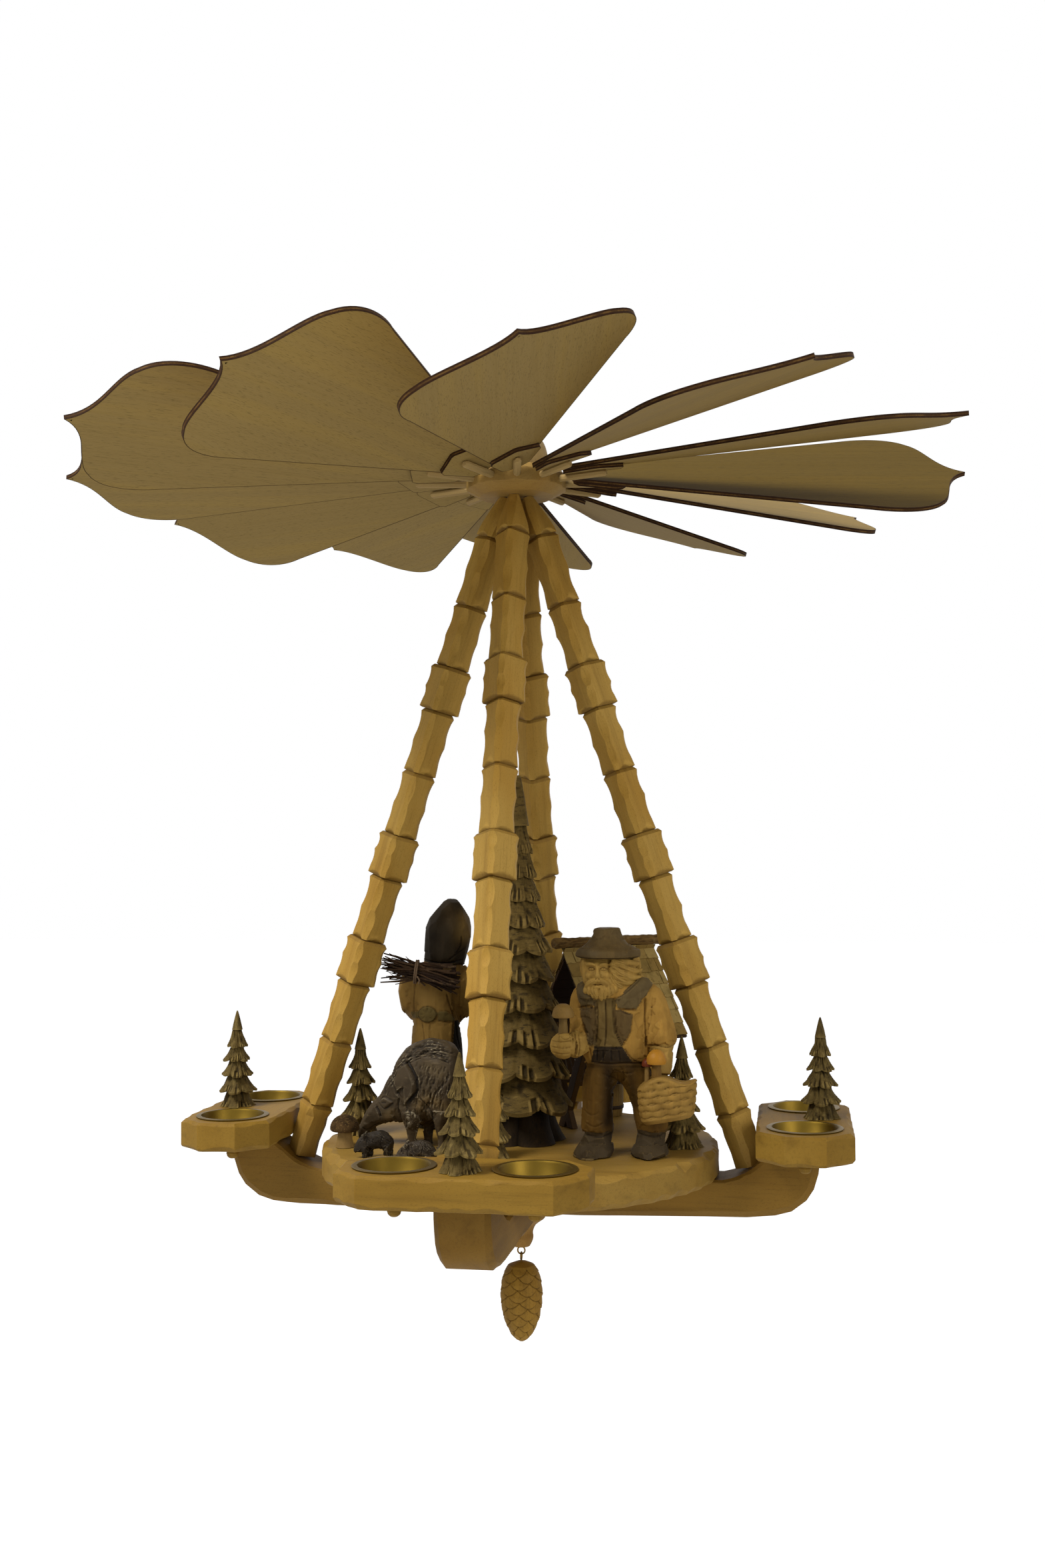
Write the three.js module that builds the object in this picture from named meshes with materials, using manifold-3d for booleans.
import * as THREE from 'three';
import { mergeVertices } from 'three/addons/utils/BufferGeometryUtils.js';
import Module from 'manifold-3d';

const wasm = await Module();
wasm.setup();

// A hanging candle carousel of carved wood. Lengths are millimetres and +Z is up. The origin is the point
// inside the top of the hanging eye where a ceiling hook bears. The front arm points along -Y.

const gap = 0.3;           // clearance between pieces that seat on each other
const overrun = 1;         // how far a cutter passes the face that it opens
const bite = 0.1;          // how far two glued members of one piece run into each other

// Overall sizes
const wheelDrop = 62;      // hanging point down to the axis of the blade stems
const wheelHeight = 463.5; // blade stems above the top of the figure plate
const bladeCount = 12;
const armCount = 4;
const firstBlade = 10.33;  // degrees from +X to the first blade
const stemZ = -wheelDrop;
const plateZ = stemZ - wheelHeight;

const eye = { inner: 4, wire: 2.8 };
const barrel = { radius: 5.5, height: 12, crown: 2.2, wall: 1.6, floor: 1.5, sides: 14 };
const pin = { radius: 1.6, head: 3.2, headHeight: 3, collar: 4, collarHeight: 1.5, reach: 14, sides: 12 };
const cap = { radius: 23, topRadius: 5.5, tenon: 8, tenonLength: 10, sides: 24 };
const hub = { radius: 36, below: 9.5, above: 8.5, rimBelow: 4.5, rimAbove: 4.5, sides: 24 };
const hubShares = { foot: 0.75, top: 0.9028 };  // its two flat ends, as shares of its radius

// Each blade is a plywood board with a doubler under its root, glued on a round stem
const blade = { off: 3, rootHalf: 10, tip: 320, lobeHalf: 70, thickness: 3, corner: 5 }; // off: from the hub
const doubler = { thickness: 3, length: 35, endHalf: 18.6, point: 10.5, corner: 5 };
const stem = { radius: 2.5, socket: 13, underBlade: 32.5, bevel: 1.2, sides: 10 };
const bladeRoot = hub.radius + blade.off;
// How far each blade is turned on its stem, in degrees, counter-clockwise from the first one
const bladePitches = [33, 22, 17, 16, 18, 24, 13, 20, 26, 21, 17, 11];

const leg = { half: 11.6, blockHalf: 14.3, notch: 1.9, notchRun: 2.6 };
const legEnds = { tipHalf: 5, neckHalf: 10.7, neckShare: 0.667, ankleHalf: 8.3, footHalf: 7.6 };
const legTop = { radius: 14.6, below: 9.8 };
const legFoot = { outside: 20.1, below: 11.5 }; // outside: how far beyond the figure plate's rim
const legPeg = { radius: 2.2, length: 9 };
// Where the carved notches cross the leg, as shares of its length, and which lengths between them are thick
const notchShares = [0.063, 0.167, 0.26, 0.326, 0.421, 0.516, 0.58, 0.675, 0.74, 0.83, 0.926];
const thickSegments = [3, 6, 8];

const beam = { beyondPlate: 9.7, rest: 15.3, width: 34, seat: 21, bottom: 48, bevel: 3.5 };
// Outline of one arm's end: shares of the reach and of the depth, first along the top, then round to the
// bottom. The candle plate rests on the flat that starts this side of its middle line and ends past it.
const armTopShares = [[0.733, 0.375], [0.769, 0.302], [0.803, 0.198], [0.854, 0.042]];
const armEndShares = [
  [1, 0.313], [0.99, 0.458], [0.966, 0.708], [0.908, 0.896], [0.83, 0.969], [0.752, 1],
];

const disc = { radius: 138.9, thickness: 20.7, edge: 4, wave: 1.1, sides: 36 };
const plate = { beyondLeg: 37.3, halfLength: 75, flatLength: 57, halfWidth: 31.8, flatWidth: 13.3 };
const plateThickness = 19.3;
const plateEdge = 1.4;
const plateFirReach = 11.5;    // the tree stands this far outside the plate's middle line
const button = { radius: 3.5, height: 2.6 };
const cup = { offset: 41.8, rim: 25, mouth: 21, wall: 0.8, depth: 15, foot: 20.3, sides: 16 };
const pocket = { floor: 4, sides: 20 };

// The legs stand round the figure plate, and the candle plates and the arms' ends stand beyond the legs
const legRadius = disc.radius + legFoot.outside;
const plateCentre = legRadius + plate.beyondLeg;
const beamReach = plateCentre + beam.beyondPlate;
const beamFlat = plateCentre - beam.rest;

const knob = { flange: 17.4, flangeHeight: 4.7, waist: 10.1, ball: 8.3, tip: 5.9, height: 25.2 };
const knobTenon = { radius: 4, reach: 9, sides: 20 }; // reach: how far it runs up into the figure plate
const knobShares = { tip: 0.07, ball: 0.19, waist: 0.45 };
const ring = { inner: 2, wire: 1.1, shank: 0.7, shankLength: 4 };
const cone = { radius: 15.2, height: 56.8, topRadius: 5, rows: 9, sides: 12, lip: 1.1 };
// How the cone narrows: its top row, the undercut below each row, and the two powers of its outline
const coneShares = { topRow: 0.6, undercut: 0.9, high: 0.75, full: 0.8 };

// The notches in the boughs' lower edges are ragged shares of the tier's radius
const spruceHeight = 255.6;
const spruceSides = 12;
const spruceRaggedShare = 0.1;
const firHeight = 75;
const plateFirHeight = 68;
const firSides = 8;
const firRaggedShare = 0.12;

const colours = {
  honey: 0xc99b4e, pale: 0xd9c08d, scorched: 0x5a3a22, brass: 0xb8963f, fir: 0x7d7350, trunk: 0x3a2f27,
  grey: 0x6f6558, bark: 0x4a3324, flesh: 0xd8b377, orange: 0xd9822b, dark: 0x2f2420, cone: 0x8a5a34,
};

function material(colour, roughness = 0.6, metalness = 0) {
  return new THREE.MeshStandardMaterial({ color: colour, roughness, metalness });
}

// Closed geometry to solid, and back
function solid(geometry, matrix) {
  const bare = geometry.clone();
  for (const name of Object.keys(bare.attributes)) if (name !== 'position') bare.deleteAttribute(name);
  if (matrix) bare.applyMatrix4(matrix);
  const merged = mergeVertices(bare, 1e-4);
  const faces = merged.index.array;
  const kept = [];
  for (let i = 0; i < faces.length; i += 3) {
    const [a, b, c] = [faces[i], faces[i + 1], faces[i + 2]];
    if (a !== b && b !== c && c !== a) kept.push(a, b, c);
  }
  const vertProperties = new Float32Array(merged.attributes.position.array);
  return new wasm.Manifold(new wasm.Mesh({ numProp: 3, vertProperties, triVerts: new Uint32Array(kept) }));
}

function geometryOf(body) {
  const mesh = body.getMesh();
  const geometry = new THREE.BufferGeometry();
  const points = new Float32Array(mesh.numVert * 3);
  for (let i = 0; i < mesh.numVert; i += 1) {
    for (let k = 0; k < 3; k += 1) points[i * 3 + k] = mesh.vertProperties[i * mesh.numProp + k];
  }
  geometry.setAttribute('position', new THREE.BufferAttribute(points, 3));
  geometry.setIndex(new THREE.BufferAttribute(new Uint32Array(mesh.triVerts), 1));
  geometry.computeVertexNormals();
  return geometry;
}

const joined = (first, ...rest) => rest.reduce((sum, piece) => sum.add(piece), first);
const cutBy = (first, ...tools) => tools.reduce((rest, tool) => rest.subtract(tool), first);

function place({ x = 0, y = 0, z = 0, turn = 0, tilt = 0, roll = 0 } = {}) {
  const spin = new THREE.Quaternion().setFromEuler(new THREE.Euler(roll, tilt, turn, 'ZYX'));
  return new THREE.Matrix4().compose(new THREE.Vector3(x, y, z), spin, new THREE.Vector3(1, 1, 1));
}

const radians = (degrees) => THREE.MathUtils.degToRad(degrees);

// A turned piece. Its profile of [radius, height] pairs starts and ends on the axis, or closes on itself.
function turned(profile, sides) {
  const geometry = new THREE.LatheGeometry(profile.map(([r, h]) => new THREE.Vector2(r, h)), sides);
  geometry.rotateX(Math.PI / 2);
  return geometry;
}

const shapeOf = (outline) => new THREE.Shape(outline.map(([x, y]) => new THREE.Vector2(x, y)));

// A round bar along +Z from z = 0
function rod(radius, length, sides = 10) {
  const geometry = new THREE.CylinderGeometry(radius, radius, length, sides);
  geometry.rotateX(Math.PI / 2);
  geometry.translate(0, 0, length / 2);
  return geometry;
}

// A skin over rings of points, closed by a fan at each end
function skin(rings) {
  const count = rings[0].length;
  const points = rings.flat().flatMap((p) => [p.x, p.y, p.z]);
  const faces = [];
  for (let i = 0; i + 1 < rings.length; i += 1) {
    for (let j = 0; j < count; j += 1) {
      const [a, b] = [i * count + j, i * count + ((j + 1) % count)];
      faces.push(a, b, b + count, a, b + count, a + count);
    }
  }
  for (const [ring, flip] of [[0, true], [rings.length - 1, false]]) {
    const centre = new THREE.Vector3();
    for (const p of rings[ring]) centre.addScaledVector(p, 1 / count);
    const middle = points.length / 3;
    points.push(centre.x, centre.y, centre.z);
    for (let j = 0; j < count; j += 1) {
      const [a, b] = [ring * count + j, ring * count + ((j + 1) % count)];
      faces.push(middle, flip ? b : a, flip ? a : b);
    }
  }
  const geometry = new THREE.BufferGeometry();
  geometry.setAttribute('position', new THREE.Float32BufferAttribute(points, 3));
  geometry.setIndex(faces);
  return geometry;
}

// A stack of ovals. Each ring is [height, half width, half depth, shift in x, shift in y], as shares of one
// size.
function stack(size, ringShares, sides = 12) {
  return skin(ringShares.map(([h, w, d, sx = 0, sy = 0]) => {
    const ring = [];
    for (let i = 0; i < sides; i += 1) {
      const a = (2 * Math.PI * i) / sides;
      ring.push(new THREE.Vector3(size * (sx + w * Math.cos(a)), size * (sy + d * Math.sin(a)), size * h));
    }
    return ring;
  }));
}

// A limb: an oval skin along a path of [x, y, z, radius] shares of one size
function limb(size, pathShares, sides = 10) {
  const points = pathShares.map(([x, y, z]) => new THREE.Vector3(x, y, z).multiplyScalar(size));
  const rings = points.map((point, i) => {
    const ahead = points[Math.min(i + 1, points.length - 1)];
    const behind = points[Math.max(i - 1, 0)];
    const along = ahead.clone().sub(behind).normalize();
    const across = new THREE.Vector3(0, 1, 0).cross(along);
    if (across.length() < 0.1) across.set(1, 0, 0).cross(along);
    across.normalize();
    const up = along.clone().cross(across);
    const radius = size * pathShares[i][3];
    return Array.from({ length: sides }, (_, j) => {
      const a = (2 * Math.PI * j) / sides;
      const out = point.clone().addScaledVector(across, radius * Math.cos(a));
      return out.addScaledVector(up, radius * Math.sin(a));
    });
  });
  return skin(rings);
}

const carousel = new THREE.Group();

function add(name, geometry, look, spot = {}) {
  const mesh = new THREE.Mesh(geometry, look);
  mesh.name = name;
  mesh.applyMatrix4(place(spot));
  carousel.add(mesh);
  return mesh;
}

const honey = material(colours.honey);
const pale = material(colours.pale, 0.65);
const brass = material(colours.brass, 0.3, 1);
const fir = material(colours.fir, 0.75);
const grey = material(colours.grey, 0.7);

// Swivel: the eye and its barrel stay still, the headed pin turns in the barrel with the whole carousel
const ringRadius = eye.inner + eye.wire / 2;
const eyeZ = -eye.inner;
const barrelTop = eyeZ - ringRadius - eye.wire / 2 + overrun;
const barrelBottom = barrelTop - barrel.height;
const capTop = barrelBottom - gap - pin.collarHeight - gap;

function swivelEye() {
  const { radius, crown, wall, floor } = barrel;
  const inner = radius - wall;
  const bore = pin.radius + gap;
  const roof = barrelBottom + floor + pin.headHeight + 2 * gap;
  const shell = turned([
    [bore, barrelBottom], [radius, barrelBottom], [radius, barrelTop - crown], [radius - crown, barrelTop],
    [0, barrelTop], [0, roof], [inner, roof], [inner, barrelBottom + floor], [bore, barrelBottom + floor],
    [bore, barrelBottom],
  ], barrel.sides);
  const loop = new THREE.TorusGeometry(ringRadius, eye.wire / 2, 6, 18);
  return geometryOf(joined(solid(shell), solid(loop, place({ z: eyeZ, roll: Math.PI / 2 }))));
}

function swivelPin() {
  const head = barrelBottom + barrel.floor + gap;
  const collar = barrelBottom - gap;
  return turned([
    [0, capTop - pin.reach], [pin.radius, capTop - pin.reach], [pin.radius, collar - pin.collarHeight],
    [pin.collar, collar - pin.collarHeight], [pin.collar, collar], [pin.radius, collar], [pin.radius, head],
    [pin.head, head], [pin.head, head + pin.headHeight], [0, head + pin.headHeight],
  ], pin.sides);
}

const hubTop = stemZ + hub.above;
const hubBottom = stemZ - hub.below;

// The cap's dome, as shares of its radius and height from the top down
const domeShares = [[0.56, 0.1], [0.83, 0.28], [0.95, 0.52], [1, 0.8]];

function hubCap() {
  const bottom = hubTop + gap;
  const top = capTop;
  const height = top - bottom;
  const bore = pin.radius + gap;
  const dome = domeShares.map(([r, h]) => [cap.radius * r, top - height * h]);
  return turned([
    [bore, top], [cap.topRadius, top], ...dome, [cap.radius, bottom], [cap.tenon, bottom],
    [cap.tenon, bottom - cap.tenonLength], [0, bottom - cap.tenonLength], [0, top - pin.reach - gap],
    [bore, top - pin.reach - gap], [bore, top],
  ].reverse(), cap.sides);
}

function vaneHub() {
  const body = solid(turned([
    [0, hubBottom], [hub.radius * hubShares.foot, hubBottom], [hub.radius, stemZ - hub.rimBelow],
    [hub.radius, stemZ + hub.rimAbove], [hub.radius * hubShares.top, hubTop], [0, hubTop],
  ], hub.sides));
  const socketRadius = (stem.radius + gap) / Math.cos(Math.PI / stem.sides);
  const socket = rod(socketRadius, stem.socket + overrun, stem.sides);
  const sockets = Array.from({ length: bladeCount }, (_, i) => solid(socket, bladeFrame(i)
    .multiply(place({ x: hub.radius - stem.socket, tilt: Math.PI / 2 }))));
  const bore = rod(cap.tenon + gap, cap.tenonLength + overrun, cap.sides);
  const mortise = solid(bore, place({ z: hubTop - cap.tenonLength }));
  return geometryOf(cutBy(body, ...sockets, mortise));
}

// The frame of blade i: x runs out along its stem, z is square to the board
function bladeFrame(i) {
  const turn = radians(firstBlade + (360 * i) / bladeCount);
  return place({ z: stemZ, turn }).multiply(place({ roll: radians(bladePitches[i]) }));
}

// Half of the blade's edge after its straight side: shares of its length and of its widest half
const lobeShares = {
  start: [0.715, 0.936], rise: [0.772, 1.02], fall: [0.854, 1.043], shoulder: [0.893, 0.829],
};
const tipShares = { out: [0.94, 0.643], back: [0.925, 0.171] };

function bladeOutline() {
  const at = ([l, w], side) => [bladeRoot + l * (blade.tip - bladeRoot), side * w * blade.lobeHalf];
  const shape = new THREE.Shape();
  const { rootHalf, corner } = blade;
  const root = bladeRoot;
  shape.moveTo(root, -rootHalf + corner);
  shape.lineTo(root + corner, -rootHalf - corner / 4);
  shape.lineTo(...at(lobeShares.start, -1));
  shape.bezierCurveTo(...at(lobeShares.rise, -1), ...at(lobeShares.fall, -1), ...at(lobeShares.shoulder, -1));
  shape.bezierCurveTo(...at(tipShares.out, -1), ...at(tipShares.back, -1), blade.tip, 0);
  shape.bezierCurveTo(...at(tipShares.back, 1), ...at(tipShares.out, 1), ...at(lobeShares.shoulder, 1));
  shape.bezierCurveTo(...at(lobeShares.fall, 1), ...at(lobeShares.rise, 1), ...at(lobeShares.start, 1));
  shape.lineTo(root + corner, rootHalf + corner / 4);
  shape.lineTo(root, rootHalf - corner);
  return shape;
}

function vane() {
  const doublerZ = stem.radius - gap;
  const boardZ = doublerZ + doubler.thickness - bite;
  const board = new THREE.ExtrudeGeometry(bladeOutline(), {
    depth: blade.thickness, bevelEnabled: false, curveSegments: 6,
  });
  board.translate(0, 0, boardZ);
  const { rootHalf } = blade;
  const { corner, length, endHalf, point } = doubler;
  const root = bladeRoot;
  const half = [[root, rootHalf - corner], [root + corner, rootHalf], [root + length, endHalf]];
  const outline = [...half, [root + length + point, 0], ...half.map(([x, y]) => [x, -y]).reverse()];
  const backing = new THREE.ExtrudeGeometry(shapeOf(outline), {
    depth: doubler.thickness, bevelEnabled: false,
  });
  backing.translate(0, 0, doublerZ);
  const start = hub.radius - stem.socket + gap;
  const end = root + stem.underBlade;
  const bar = turned([
    [0, start], [stem.radius, start], [stem.radius, end - stem.bevel],
    [stem.radius - stem.bevel, end], [0, end],
  ], stem.sides);
  return geometryOf(joined(solid(board), solid(backing), solid(bar, place({ tilt: Math.PI / 2 }))));
}

// Legs: square bars set on edge, leaning from under the hub out to the arms
const legHead = new THREE.Vector3(legTop.radius, 0, stemZ - legTop.below);
const legEnd = new THREE.Vector3(legRadius, 0, plateZ - legFoot.below);
const legLength = legHead.distanceTo(legEnd);
const legLean = Math.atan2(legEnd.x - legHead.x, legHead.z - legEnd.z);
const legFrame = place({ x: legHead.x, z: legHead.z, tilt: -legLean });

function legRing(distance, half) {
  return [[1, 0], [0, 1], [-1, 0], [0, -1]].map(([x, y]) => new THREE.Vector3(x * half, y * half, -distance));
}

function legBar() {
  const { tipHalf, neckHalf, neckShare, ankleHalf, footHalf } = legEnds;
  const stops = [0, ...notchShares, 1];
  const rings = [];
  for (let i = 0; i + 1 < stops.length; i += 1) {
    const half = thickSegments.includes(i) ? leg.blockHalf : leg.half;
    const [from, to] = [legLength * stops[i], legLength * stops[i + 1]];
    if (i === 0) rings.push([-overrun, tipHalf], [to * neckShare, neckHalf]);
    else rings.push([from, half - leg.notch], [from + leg.notchRun, half]);
    if (i + 2 < stops.length) rings.push([to - leg.notchRun, half]);
    else rings.push([(from + to) / 2, ankleHalf], [to + leg.notchRun, footHalf]);
  }
  return skin(rings.map(([distance, half]) => legRing(distance, half)).reverse());
}

// Cross beams: one board each way, half lapped at the centre
function beamOutline(lower = 0, overhang = 0) {
  const { seat, bottom } = beam;
  const end = armEndShares.map(([r, d]) => [(beamReach + overhang) * r, -bottom * d - lower]);
  const top = armTopShares.map(([r, d]) => [beamReach * r, -bottom * d]);
  const right = [
    [disc.radius + disc.edge / 2, -seat], ...top, [beamFlat, 0], [beamReach + overhang, 0], ...end,
  ];
  const outline = [[0, -seat], ...right, ...right.map(([x, y]) => [-x, y]).reverse()];
  return shapeOf(outline);
}

function beamSolid() {
  const { width, bevel } = beam;
  const board = new THREE.ExtrudeGeometry(beamOutline(), {
    depth: width - 2 * bevel, bevelThickness: bevel, bevelSize: bevel, bevelOffset: -bevel, bevelSegments: 1,
  });
  board.translate(0, 0, -width / 2 + bevel);
  board.rotateX(Math.PI / 2);
  return solid(board, place({ z: plateZ }));
}

const lapZ = plateZ - (beam.seat + beam.bottom) / 2;

function lapCut(upper) {
  const width = beam.width + 2 * gap;
  const height = beam.bottom;
  const box = new THREE.BoxGeometry(width, beam.width + 2 * overrun, height);
  return solid(box, place({ z: lapZ + (upper ? 1 : -1) * (height / 2 - gap / 2) }));
}

const pegHole = solid(rod(legPeg.radius + gap, 2 * (legPeg.length + gap)),
  legFrame.clone().multiply(place({ z: -legLength - legPeg.length - gap })));

function crossBeam(upper) {
  const drill = rod(knobTenon.radius + gap, beam.bottom * 2, knobTenon.sides);
  const tenonHole = solid(drill, place({ z: plateZ - beam.bottom * 2 + overrun }));
  const holes = [pegHole, pegHole.mirror([1, 0, 0])];
  return cutBy(beamSolid(), lapCut(upper), tenonHole, ...holes);
}

function carvedLeg() {
  const bar = solid(legBar(), legFrame);
  const ceiling = new THREE.BoxGeometry(hub.radius * 2, hub.radius * 2, hub.above);
  const above = solid(ceiling, place({ z: hubBottom - gap + hub.above / 2 }));
  const seat = new THREE.ExtrudeGeometry(beamOutline(), { depth: beam.width * 2, bevelEnabled: false });
  seat.translate(0, 0, -beam.width).rotateX(Math.PI / 2);
  const seatCut = solid(seat, place({ z: plateZ + gap }));
  const peg = solid(rod(legPeg.radius, 2 * legPeg.length), legFrame.clone()
    .multiply(place({ z: -legLength - legPeg.length })));
  return geometryOf(joined(cutBy(bar, above, seatCut), peg));
}

// Figure plate: a thick disc with a knife-carved rim
function figureDisc() {
  const { radius, thickness, edge, wave, sides } = disc;
  const ringAt = (z, inset) => Array.from({ length: sides }, (_, i) => {
    const a = (2 * Math.PI * i) / sides;
    const r = radius - inset - (i % 2 ? wave : 0);
    return new THREE.Vector3(r * Math.cos(a), r * Math.sin(a), plateZ + z);
  });
  const foot = [ringAt(-thickness, edge), ringAt(-thickness + edge, 0)];
  const body = solid(skin([...foot, ringAt(-edge, 0), ringAt(0, edge)]));
  const reach = thickness + knobTenon.reach;
  const hole = solid(rod(knobTenon.radius + gap, reach, knobTenon.sides),
    place({ z: plateZ - 2 * thickness + gap }));
  return geometryOf(cutBy(body, hole));
}

// Candle plates: long octagons with two pockets, a glued button under each
const plateTop = plateZ + gap + plateThickness;
const cupFloor = plateTop + gap + cup.wall - cup.depth;

function candlePlate() {
  const { halfLength, flatLength, halfWidth, flatWidth } = plate;
  const quarter = [[halfLength, flatWidth], [flatLength, halfWidth]];
  const side = [...quarter, ...quarter.map(([x, y]) => [-x, y]).reverse()];
  const outline = [...side, ...side.map(([x, y]) => [-x, -y])];
  const board = new THREE.ExtrudeGeometry(shapeOf(outline), {
    depth: plateThickness - 2 * plateEdge,
    bevelThickness: plateEdge, bevelSize: plateEdge, bevelOffset: -plateEdge, bevelSegments: 1,
  });
  const body = solid(board, place({ z: plateEdge }));
  const depth = plateThickness - pocket.floor;
  const pocketRadius = (cup.mouth + cup.wall + gap) / Math.cos(Math.PI / pocket.sides);
  const pockets = [-1, 1].map((s) => solid(rod(pocketRadius, depth + overrun, pocket.sides),
    place({ x: s * cup.offset, z: pocket.floor })));
  const buttons = [-1, 1].map((s) => solid(rod(button.radius, button.height + overrun, 12),
    place({ x: s * cup.offset, z: -button.height })));
  return geometryOf(cutBy(joined(body, ...buttons), ...pockets));
}

function candleCup() {
  const { rim, mouth, wall, depth, foot, sides } = cup;
  const bowl = [[0, 0], [foot - wall, 0], [mouth, depth]];
  const shell = [[rim, depth], [rim, depth - wall], [mouth + wall, depth - wall], [foot, -wall], [0, -wall]];
  return turned([...shell.reverse(), ...bowl.reverse()], sides);
}

// Conifers: tiers of carved boughs round a stem, as [radius, height] shares of the tree's height
function conifer(height, tierShares, sides, ragged) {
  return skin(tierShares.map(([r, h, even = false]) => Array.from({ length: sides }, (_, i) => {
    const a = (2 * Math.PI * i) / sides;
    const radius = height * r * (even || i % 2 ? 1 : 1 - ragged);
    return new THREE.Vector3(radius * Math.cos(a), radius * Math.sin(a), height * h);
  })));
}

const firShares = [
  [0.12, 0, true], [0.205, 0.035], [0.105, 0.19, true], [0.19, 0.215], [0.09, 0.36, true], [0.16, 0.385],
  [0.07, 0.51, true], [0.125, 0.535], [0.055, 0.66, true], [0.1, 0.69], [0.03, 0.86, true], [0.008, 1, true],
];

const spruceShares = [
  [0.118, 0, true], [0.1, 0.06, true], [0.088, 0.11, true], [0.148, 0.1], [0.09, 0.185, true], [0.138, 0.19],
  [0.088, 0.275, true], [0.128, 0.28], [0.078, 0.365, true], [0.114, 0.37], [0.07, 0.445, true],
  [0.105, 0.45], [0.06, 0.52, true], [0.094, 0.525], [0.05, 0.59, true], [0.076, 0.595],
  [0.042, 0.66, true], [0.064, 0.667],
  [0.034, 0.725, true], [0.052, 0.73], [0.026, 0.79, true], [0.041, 0.796], [0.02, 0.85, true], [0.03, 0.905],
  [0.008, 0.975, true], [0.004, 1, true],
];

// Knob, the two linked screw eyes and the hanging pine cone
const knobTop = plateZ - beam.bottom - gap;

function turnedKnob() {
  const { flange, flangeHeight, waist, ball, tip, height } = knob;
  const tenon = knobTenon.radius;
  const foot = knobTop - height;
  const tenonTop = plateZ - disc.thickness + knobTenon.reach - gap;
  const eyeHole = ring.shank + gap;
  const holeTop = foot + ring.shankLength + gap;
  return turned([
    [0, holeTop], [eyeHole, holeTop], [eyeHole, foot], [tip, foot],
    [tip, foot + height * knobShares.tip], [ball, foot + height * knobShares.ball],
    [waist, foot + height * knobShares.waist],
    [flange, knobTop - flangeHeight], [flange, knobTop], [tenon, knobTop], [tenon, tenonTop], [0, tenonTop],
  ], knobTenon.sides);
}

const ringMid = ring.inner + ring.wire / 2;
const knobFoot = knobTop - knob.height;
const upperRingZ = knobFoot - ringMid - ring.wire / 2 - gap / 2;
const lowerRingZ = upperRingZ - 2 * ring.inner + gap;
const linkZ = upperRingZ - ringMid;
const coneTop = lowerRingZ - ringMid - ring.wire / 2 - gap / 2;

function screwEye(direction) {
  const loop = new THREE.TorusGeometry(ringMid, ring.wire / 2, 6, 14);
  const length = ring.shankLength + ring.wire;
  const shank = rod(ring.shank, length, 8);
  const from = direction > 0 ? ringMid - ring.wire / 4 : -ringMid + ring.wire / 4 - length;
  return joined(solid(loop, place({ roll: Math.PI / 2 })), solid(shank, place({ z: from })));
}

function pineCone() {
  const { radius, height, topRadius, rows, sides, lip } = cone;
  const swell = (share) => Math.sin(Math.PI * share ** coneShares.high) ** coneShares.full;
  const widest = (share) => topRadius + (radius - topRadius) * swell(share);
  const ringAt = (r, z) => Array.from({ length: sides }, (_, i) => {
    const a = (2 * Math.PI * i) / sides;
    return new THREE.Vector3(r * Math.cos(a), r * Math.sin(a), z);
  });
  const rings = [];
  for (let row = 0; row < rows; row += 1) {
    const full = widest((row + 1 / 2) / rows) * (row === 0 ? coneShares.topRow : 1);
    rings.push(ringAt(full, -height * (row / rows)));
    rings.push(ringAt(full - lip, -height * ((row + coneShares.undercut) / rows)));
  }
  const body = solid(skin(rings.reverse()));
  const hole = solid(rod(ring.shank + gap, ring.shankLength + gap + overrun, 8),
    place({ z: -ring.shankLength - gap }));
  return geometryOf(cutBy(body, hole));
}

// Where each figure stands on the figure plate, in shares of the plate's radius, and how far it is turned
const standingShares = {
  man: { x: 0.523, y: -0.31, turn: 6.2 },
  woman: { x: -0.503, turn: 13.6 },
  boar: { x: -0.53, y: -0.225, turn: 171 },
  pigletLeft: { x: -0.625, y: -0.545, turn: 196 },
  pigletRight: { x: -0.368, y: -0.76, turn: 186 },
  mushroom: { x: -0.829, y: -0.311 },
  firLeft: { x: -0.852, y: 0.066, turn: 8 },
  firFront: { x: -0.073, y: -0.451, turn: 20 },
  firRight: { x: 0.822, y: -0.08, turn: 3 },
  barrel: { x: 0.36, y: 0.785 },
  hut: { x: 0.13, y: 0.324, turn: 40 },
};

function spotOf({ x, y, turn = 0 }) {
  return { x: disc.radius * x, y: disc.radius * y, z: plateZ + gap, turn: radians(turn) };
}

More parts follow.
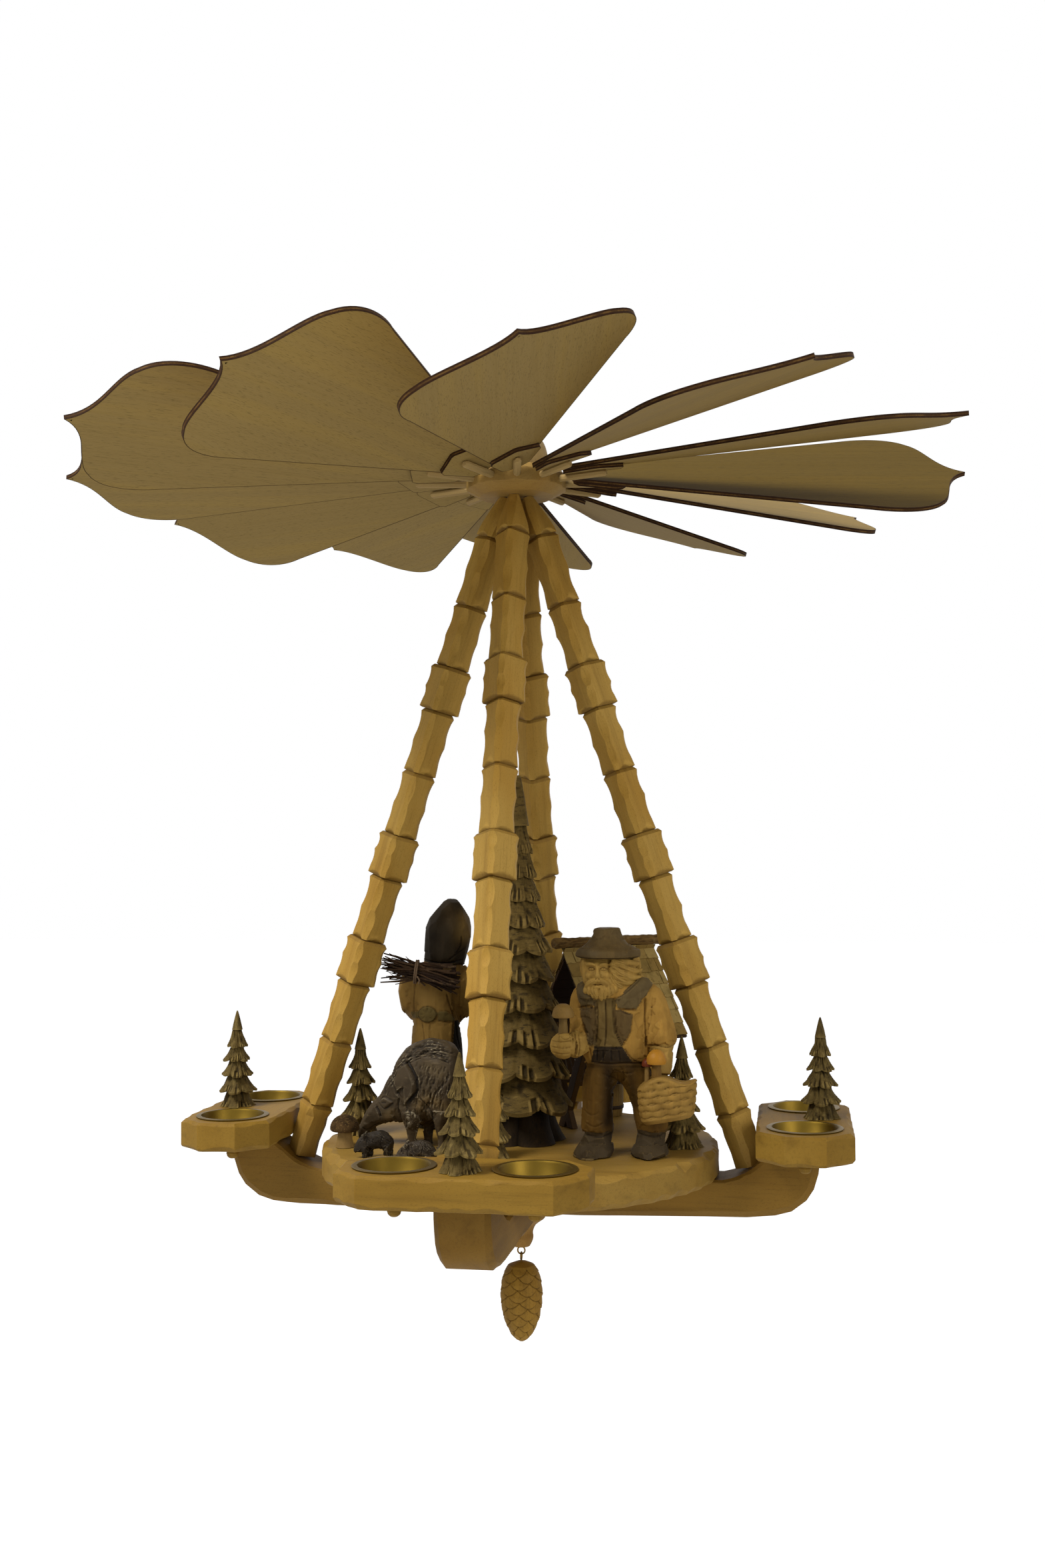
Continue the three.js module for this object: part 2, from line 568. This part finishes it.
const manHeight = 150.8;
const manShares = {
  shoeLeft: [[0, 0.095, 0.11, -0.11, -0.03], [0.03, 0.093, 0.107, -0.11, -0.03],
    [0.065, 0.072, 0.08, -0.095, 0], [0.1, 0.066, 0.07, -0.09, 0]],
  shoeRight: [[0, 0.084, 0.11, 0.14, -0.03], [0.03, 0.082, 0.107, 0.14, -0.03], [0.065, 0.07, 0.08, 0.15, 0],
    [0.1, 0.066, 0.07, 0.155, 0]],
  legLeft: [[0.06, 0.068, 0.07, -0.087], [0.2, 0.066, 0.068, -0.085], [0.3, 0.078, 0.075, -0.07],
    [0.4, 0.088, 0.08, -0.045], [0.45, 0.06, 0.07, -0.04]],
  legRight: [[0.06, 0.068, 0.07, 0.158], [0.2, 0.07, 0.07, 0.148], [0.3, 0.078, 0.075, 0.115],
    [0.4, 0.088, 0.08, 0.065], [0.45, 0.06, 0.07, 0.05]],
  coat: [[0.37, 0.135, 0.09, 0], [0.47, 0.165, 0.105, 0.01], [0.62, 0.17, 0.105, 0.01], [0.7, 0.165, 0.1, 0],
    [0.745, 0.13, 0.085, 0], [0.78, 0.06, 0.05, -0.02]],
  head: [[0.67, 0.035, 0.04, -0.06, -0.05], [0.7, 0.08, 0.075, -0.06, -0.035],
    [0.76, 0.1, 0.09, -0.045, -0.02], [0.82, 0.11, 0.1, -0.03, -0.01], [0.89, 0.1, 0.095, -0.035, -0.01]],
  hat: [[0.865, 0.12, 0.12, -0.033], [0.88, 0.142, 0.14, -0.033], [0.905, 0.138, 0.135, -0.033],
    [0.93, 0.092, 0.09, -0.035], [0.96, 0.067, 0.07, -0.036], [1, 0.061, 0.065, -0.037]],
  hand: [[0.405, 0.035, 0.035, -0.235, -0.1], [0.43, 0.058, 0.05, -0.235, -0.1],
    [0.5, 0.058, 0.05, -0.235, -0.1], [0.535, 0.03, 0.03, -0.235, -0.1]],
  toadstool: [[0.5, 0.022, 0.022, -0.235, -0.1], [0.595, 0.02, 0.02, -0.235, -0.1],
    [0.6, 0.046, 0.046, -0.235, -0.1], [0.62, 0.047, 0.047, -0.235, -0.1],
    [0.645, 0.035, 0.035, -0.235, -0.1], [0.66, 0.012, 0.012, -0.235, -0.1]],
  armDown: [[0.12, 0, 0.7, 0.055], [0.175, -0.01, 0.6, 0.066], [0.205, -0.02, 0.5, 0.063],
    [0.2, -0.04, 0.43, 0.05], [0.19, -0.06, 0.36, 0.035]],
  armRaised: [[-0.12, 0, 0.69, 0.05], [-0.16, -0.01, 0.58, 0.056], [-0.18, -0.03, 0.5, 0.055],
    [-0.21, -0.075, 0.465, 0.05], [-0.235, -0.11, 0.47, 0.045]],
};
const basketShares = {
  body: [[0.17, 0.1, 0.05, 0.215, -0.14], [0.19, 0.125, 0.064, 0.215, -0.14], [0.3, 0.14, 0.072, 0.22, -0.14],
    [0.345, 0.132, 0.066, 0.22, -0.14]],
  mushroom: [[0.33, 0.024, 0.024, 0.18, -0.14], [0.38, 0.022, 0.022, 0.18, -0.14],
    [0.385, 0.04, 0.04, 0.18, -0.14], [0.41, 0.047, 0.047, 0.18, -0.14], [0.445, 0.036, 0.036, 0.18, -0.14],
    [0.46, 0.012, 0.012, 0.18, -0.14]],
};

function basketBody(grow = 0) {
  const size = manHeight;
  const wider = (shares) => shares.map(([h, w, d, ...shift]) => (
    [h, w + grow / size, d + grow / size, ...shift]));
  const woven = solid(stack(size, wider(basketShares.body), 16));
  return joined(woven, solid(stack(size, wider(basketShares.mushroom), 10)));
}

function man() {
  const { armDown, armRaised, ...stacked } = manShares;
  const pieces = Object.values(stacked).map((shares) => solid(stack(manHeight, shares, 10)));
  const arms = [armDown, armRaised].map((shares) => solid(limb(manHeight, shares, 8)));
  return geometryOf(cutBy(joined(...pieces, ...arms), basketBody(gap)));
}

// The bundle on this figure's back reaches towards the left leg, so the figure stands that much further off
const womanHeight = 167;
const bundleSideShare = 0.24;
const bundleToLeg = 3.67;
const womanSpot = {
  ...spotOf({ ...standingShares.woman, y: 0 }), y: womanHeight * bundleSideShare + bundleToLeg,
};
const womanShares = {
  coat: [[0, 0.115, 0.1], [0.1, 0.12, 0.105], [0.3, 0.112, 0.095], [0.38, 0.105, 0.09],
    [0.48, 0.105, 0.088], [0.57, 0.118, 0.09], [0.66, 0.125, 0.085], [0.72, 0.095, 0.075, 0.02],
    [0.76, 0.07, 0.06, 0.04]],
  hood: [[0.715, 0.085, 0.08, 0.055], [0.74, 0.105, 0.098, 0.055], [0.8, 0.108, 0.102, 0.056],
    [0.87, 0.1, 0.097, 0.058], [0.93, 0.078, 0.08, 0.065], [0.98, 0.042, 0.045, 0.07],
    [1, 0.012, 0.012, 0.072]],
  armLeft: [[-0.1, 0, 0.67, 0.045], [-0.12, 0, 0.58, 0.052], [-0.105, 0.03, 0.49, 0.04],
    [-0.06, 0.08, 0.46, 0.03]],
  armRight: [[0.11, 0, 0.69, 0.045], [0.125, 0.01, 0.58, 0.05], [0.11, 0.04, 0.49, 0.04],
    [0.06, 0.085, 0.46, 0.03]],
};
const bundleShares = [
  [-0.225, -0.127, 0.715, 0.05], [-0.16, -0.127, 0.695, 0.045], [-0.075, -0.128, 0.675, 0.035],
  [0, -0.128, 0.655, 0.045], [0.085, -0.13, 0.63, 0.06],
];

function twigBundle(grow = 0) {
  return limb(womanHeight, bundleShares.map(([x, y, z, r]) => [x, y, z, r + grow / womanHeight]), 10);
}

function woman() {
  const { coat, hood, armLeft, armRight } = womanShares;
  const pieces = [coat, hood].map((shares) => solid(stack(womanHeight, shares, 12)));
  const arms = [armLeft, armRight].map((shares) => solid(limb(womanHeight, shares, 8)));
  return geometryOf(cutBy(joined(...pieces, ...arms), solid(twigBundle(gap))));
}

// Wild pigs face +X; their bodies are drawn round and then made narrow
const pigs = {
  boar: {
    length: 76, sides: 12, narrowShare: 0.55,
    bodyShares: [[-0.49, 0, 0.45, 0.1], [-0.4, 0, 0.5, 0.28], [-0.17, 0, 0.56, 0.36], [0.02, 0, 0.54, 0.34],
      [0.16, 0, 0.45, 0.27], [0.27, 0, 0.36, 0.2], [0.36, 0, 0.27, 0.15], [0.44, 0, 0.19, 0.095],
      [0.5, 0, 0.15, 0.065]],
    foreShares: [[0, 0.05, 0.045, 0.04, 0], [0.12, 0.04, 0.038, 0.04, 0], [0.36, 0.075, 0.05, 0.02, 0]],
    hindShares: [[0, 0.05, 0.045, -0.36, 0], [0.14, 0.04, 0.038, -0.37, 0], [0.36, 0.09, 0.05, -0.33, 0]],
    stanceShare: 0.11,
  },
  piglet: {
    length: 27.5, sides: 8, narrowShare: 0.72,
    bodyShares: [[-0.48, 0, 0.42, 0.08], [-0.38, 0, 0.44, 0.2], [-0.1, 0, 0.46, 0.22], [0.14, 0, 0.42, 0.2],
      [0.28, 0, 0.32, 0.16], [0.4, 0, 0.2, 0.1], [0.5, 0, 0.12, 0.055]],
    foreShares: [[0, 0.06, 0.055, 0.14, 0], [0.3, 0.07, 0.06, 0.12, 0]],
    hindShares: [[0, 0.06, 0.055, -0.34, 0], [0.32, 0.08, 0.065, -0.32, 0]],
    stanceShare: 0.1,
  },
};

function pig({ length, sides, narrowShare, bodyShares, foreShares, hindShares, stanceShare }) {
  const body = solid(limb(length, bodyShares, sides), new THREE.Matrix4().makeScale(1, narrowShare, 1));
  const legs = [foreShares, hindShares].flatMap((shares) => [-1, 1].map((side) => (
    solid(stack(length, shares, 6), place({ y: side * length * stanceShare })))));
  return geometryOf(joined(body, ...legs));
}

const mushroom = { height: 22.2, cap: 10.2, foot: 6.6, neck: 5, sides: 14 };
// Outline of the stalk and the cap, each height as a share of the whole and each radius of its own part's
const stalkShares = [[1, 0.1]];
const gillsShare = 0.5;
const capShares = [[1, 0.54], [1, 0.6], [0.8, 0.85], [0.4, 0.98]];

function groundMushroom() {
  const { height, cap: wide, foot, neck, sides } = mushroom;
  const stalk = stalkShares.map(([r, h]) => [foot * r, height * h]);
  const dome = capShares.map(([r, h]) => [wide * r, height * h]);
  return turned([[0, 0], [foot, 0], ...stalk, [neck, height * gillsShare], ...dome, [0, height]], sides);
}

const cask = { height: 34, radius: 11.5, head: 10, rim: 1.2, sides: 16 };
const bilgeShares = [0.35, 0.65];

function barrelOnPlate() {
  const { height, radius, head, rim, sides } = cask;
  const bilge = bilgeShares.map((share) => [radius, height * share]);
  return turned([
    [0, 0], [head, 0], ...bilge, [head, height], [head - rim, height], [head - rim, height - rim],
    [0, height - rim],
  ], sides);
}

// Feeding shelter: a shingled ridge roof on two crossed trestles that carry a hay rack, its ridge along +X
const hut = { length: 90, poleZ: 134, pole: 4, eave: 44, eaveZ: 66, board: 4, course: 0.8, overhang: 8 };
const courseRise = 0.24;   // how far each course's butt stands up where it laps the next
const trestle = { first: 11, depth: 5, width: 8, footReach: 6, topShare: 0.69, rackLow: 33, rackBoard: 3 };
const courses = 5;
const roofApex = hut.poleZ - hut.pole - gap;
const roofRun = roofApex - hut.eaveZ;
const ridgeUnder = roofApex - hut.board * Math.hypot(hut.eave, roofRun) / hut.eave;
const eaveUnder = hut.eaveZ - hut.board / 2;

// An outline of [across, up] pairs drawn out along the ridge
function alongRidge(outline, length) {
  const geometry = new THREE.ExtrudeGeometry(shapeOf(outline), { depth: length, bevelEnabled: false });
  return geometry.rotateX(Math.PI / 2).rotateZ(Math.PI / 2);
}

function hutRoof() {
  const { eave, course, length, overhang } = hut;
  const outer = [];
  for (let i = 0; i < courses; i += 1) {
    const [from, to] = [i / courses, (i + 1) / courses];
    if (i === 0) outer.push([0, roofApex]);
    else outer.push([eave * from, roofApex - roofRun * from]);
    outer.push([eave * to + course, roofApex - roofRun * to + courseRise]);
  }
  const side = outer.slice(1);
  const under = [[eave, eaveUnder], [0, ridgeUnder], [-eave, eaveUnder]];
  const outline = [outer[0], ...side, ...under, ...side.map(([x, z]) => [-x, z]).reverse()];
  return geometryOf(solid(alongRidge(outline, length - 2 * overhang), place({ x: overhang })));
}

function hutFrame() {
  const { first, depth, width, footReach, topShare, rackLow, rackBoard } = trestle;
  const slope = (ridgeUnder - eaveUnder) / hut.eave;
  const topReach = hut.eave * topShare;
  const topZ = ridgeUnder - slope * topReach;
  const lean = Math.atan2(topReach + footReach, topZ);
  const length = Math.hypot(topReach + footReach, topZ);
  const bars = [];
  for (const x of [first, hut.length - first]) {
    for (const side of [-1, 1]) {
      const bar = new THREE.BoxGeometry(depth, width, length + width);
      bar.translate(0, 0, (length + width) / 2);
      bars.push(solid(bar, place({ x, y: -side * footReach, roll: -side * lean })));
    }
  }
  const rackRun = length - rackLow / Math.cos(lean) - width;
  for (const side of [-1, 1]) {
    const panel = new THREE.BoxGeometry(hut.length - 2 * first + depth, rackBoard, rackRun);
    panel.translate(0, side * -width / 3, rackLow / Math.cos(lean) + rackRun / 2);
    bars.push(solid(panel, place({ x: hut.length / 2, y: -side * footReach, roll: -side * lean })));
  }
  const floor = solid(new THREE.BoxGeometry(hut.length, hut.eave, width),
    place({ x: hut.length / 2, z: -width / 2 }));
  const lower = gap * Math.hypot(1, slope);
  const under = [[-hut.eave, eaveUnder - lower], [0, ridgeUnder - lower], [hut.eave, eaveUnder - lower]];
  const above = alongRidge([...under, [hut.eave, roofApex], [-hut.eave, roofApex]], hut.length);
  return geometryOf(cutBy(joined(...bars), floor, solid(above)));
}

// Assembly
add('swivel_eye', swivelEye(), brass);
add('swivel_pin', swivelPin(), brass);
add('hub_cap', hubCap(), pale);
add('vane_hub', vaneHub(), honey);

const vaneGeometry = vane();
for (let i = 0; i < bladeCount; i += 1) {
  const mesh = add(`vane_${String(i + 1).padStart(2, '0')}`, vaneGeometry, pale);
  mesh.applyMatrix4(bladeFrame(i));
}

const armNames = ['front', 'right', 'back', 'left'];
const armTurn = (i) => -Math.PI / 2 + (2 * Math.PI * i) / armCount;
const legGeometry = carvedLeg();
const beamX = crossBeam(true);
const beamY = crossBeam(false);
const plateGeometry = candlePlate();
const cupGeometry = candleCup();
const plateFir = conifer(plateFirHeight, firShares, firSides, firRaggedShare);

add('beam_left_right', geometryOf(beamX), honey);
add('beam_front_back', geometryOf(beamY), honey, { turn: Math.PI / 2 });
add('figure_disc', figureDisc(), honey);

for (let i = 0; i < armCount; i += 1) {
  const arm = armNames[i];
  const turn = armTurn(i);
  add(`leg_${arm}`, legGeometry, honey, { turn });
  const station = new THREE.Group();
  const seat = place({ x: plateCentre, z: plateZ + gap, turn: Math.PI / 2 });
  station.applyMatrix4(place({ turn }).multiply(seat));
  const pieces = [
    [`candle_plate_${arm}`, plateGeometry, honey, 0, 0],
    [`candle_cup_${arm}_a`, cupGeometry, brass, -cup.offset, cupFloor - plateZ - gap],
    [`candle_cup_${arm}_b`, cupGeometry, brass, cup.offset, cupFloor - plateZ - gap],
  ];
  for (const [name, geometry, look, x, z] of pieces) {
    const mesh = new THREE.Mesh(geometry, look);
    mesh.name = name;
    mesh.position.set(x, 0, z);
    station.add(mesh);
  }
  const tree = new THREE.Mesh(plateFir, fir);
  tree.name = `fir_${arm}_plate`;
  tree.position.set(0, -plateFirReach, plateThickness + gap);
  station.add(tree);
  carousel.add(station);
}

add('centre_knob', turnedKnob(), honey);
add('knob_eye', geometryOf(screwEye(1)), brass, { z: upperRingZ });
add('cone_eye', geometryOf(screwEye(-1)), brass, { z: lowerRingZ, turn: Math.PI / 2 });
add('pine_cone', pineCone(), material(colours.cone, 0.7), { z: coneTop });

add('spruce', conifer(spruceHeight, spruceShares, spruceSides, spruceRaggedShare), fir, { z: plateZ + gap });
const plateFirs = {
  fir_left: standingShares.firLeft, fir_front: standingShares.firFront, fir_right: standingShares.firRight,
};
const standingFir = conifer(firHeight, firShares, firSides, firRaggedShare);
for (const [name, spot] of Object.entries(plateFirs)) add(name, standingFir, fir, spotOf(spot));

add('mushroom_gatherer', man(), honey, spotOf(standingShares.man));
add('mushroom_basket', geometryOf(basketBody()), pale, spotOf(standingShares.man));
add('twig_carrier', woman(), honey, womanSpot);
add('twig_bundle', twigBundle(), material(colours.bark, 0.85), womanSpot);
add('boar', pig(pigs.boar), grey, spotOf(standingShares.boar));
add('piglet_left', pig(pigs.piglet), grey, spotOf(standingShares.pigletLeft));
add('piglet_right', pig(pigs.piglet), grey, spotOf(standingShares.pigletRight));
add('mushroom', groundMushroom(), material(colours.bark, 0.7), spotOf(standingShares.mushroom));
add('barrel', barrelOnPlate(), honey, spotOf(standingShares.barrel));

const hutSpot = spotOf(standingShares.hut);
add('hut_frame', hutFrame(), material(colours.dark, 0.7), hutSpot);
add('hut_roof', hutRoof(), fir, hutSpot);
const ridgePole = rod(hut.pole, hut.length).rotateY(Math.PI / 2).translate(0, 0, hut.poleZ);
add('hut_ridge_pole', ridgePole, material(colours.bark, 0.8), hutSpot);

export default carousel;
